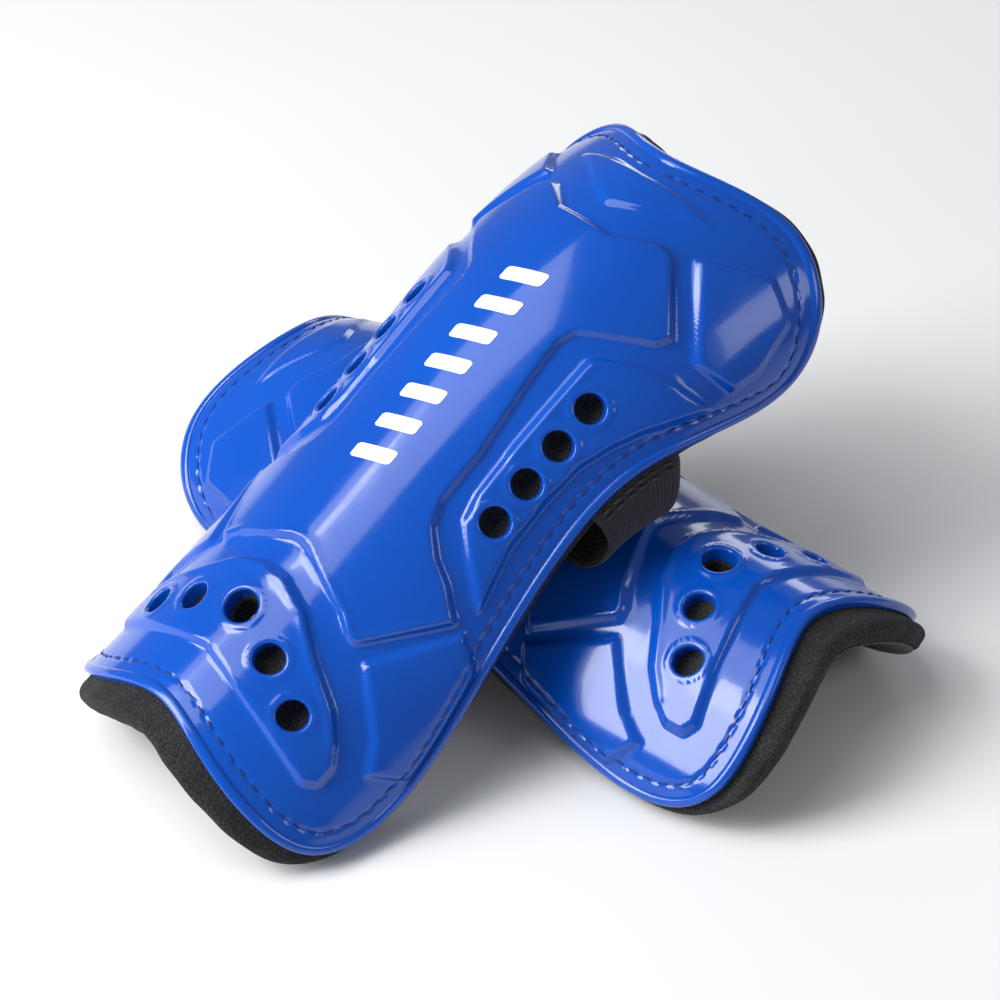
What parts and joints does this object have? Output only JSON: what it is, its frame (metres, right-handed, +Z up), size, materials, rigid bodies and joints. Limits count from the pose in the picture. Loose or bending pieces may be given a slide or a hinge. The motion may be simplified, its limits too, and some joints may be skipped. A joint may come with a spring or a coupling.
{
  "type": "shin guard pair",
  "caption": "Pair of strap-on shin guards, moulded shell on foam with vent holes and an elastic strap, one laid across the other.",
  "frame": {"origin": "on the floor under the middle of the lower guard", "axes": "+Z up, +Y along the lower guard towards the knee, +X across it"},
  "size_m": [0.2165, 0.2318, 0.1319],
  "materials": {
    "shell_plastic": "glossy moulded",
    "foam": "fine closed-cell foam",
    "lining_cloth": "knitted",
    "elastic": "ribbed woven elastic",
    "hook_and_loop": "napped",
    "thread": "twisted thread",
    "white_print": "printed ink"
  },
  "bodies": {
    "lower_guard": {"lower_shell": "shell_plastic", "lower_foam_pad": "foam", "lower_lining": "lining_cloth", "lower_edge_stitching": "thread", "lower_strap": "elastic", "lower_loop_patch": "hook_and_loop", "lower_closing_band": "elastic", "lower_printed_mark": "white_print", "lower_strap_stitching": "thread"},
    "upper_guard": {"upper_shell": "shell_plastic", "upper_foam_pad": "foam", "upper_lining": "lining_cloth", "upper_edge_stitching": "thread", "upper_strap": "elastic", "upper_loop_patch": "hook_and_loop", "upper_closing_band": "elastic", "upper_printed_mark": "white_print", "upper_strap_stitching": "thread"},
    "lower_peel_tab": {"lower_tab_end": "elastic", "lower_hook_patch": "hook_and_loop", "lower_patch_stitching": "thread"},
    "upper_peel_tab": {"upper_tab_end": "elastic", "upper_hook_patch": "hook_and_loop", "upper_patch_stitching": "thread"}
  },
  "joints": [
    {"name": "upper_guard_lift", "type": "slide", "parent": "lower_guard", "child": "upper_guard", "axis": [0, 0, 1], "range_m": [0, 0.12]},
    {"name": "lower_tab_peel", "type": "hinge", "parent": "lower_guard", "child": "lower_peel_tab", "pos_m": [-0.01073, 0.02657, 0.0067], "axis": [0.0249, -0.9997, 0], "range_deg": [0, 60]},
    {"name": "upper_tab_peel", "type": "hinge", "parent": "upper_guard", "child": "upper_peel_tab", "pos_m": [-0.00812, 0.01088, 0.0609], "axis": [-0.9813, 0.0696, -0.1793], "range_deg": [0, 40]}
  ]
}
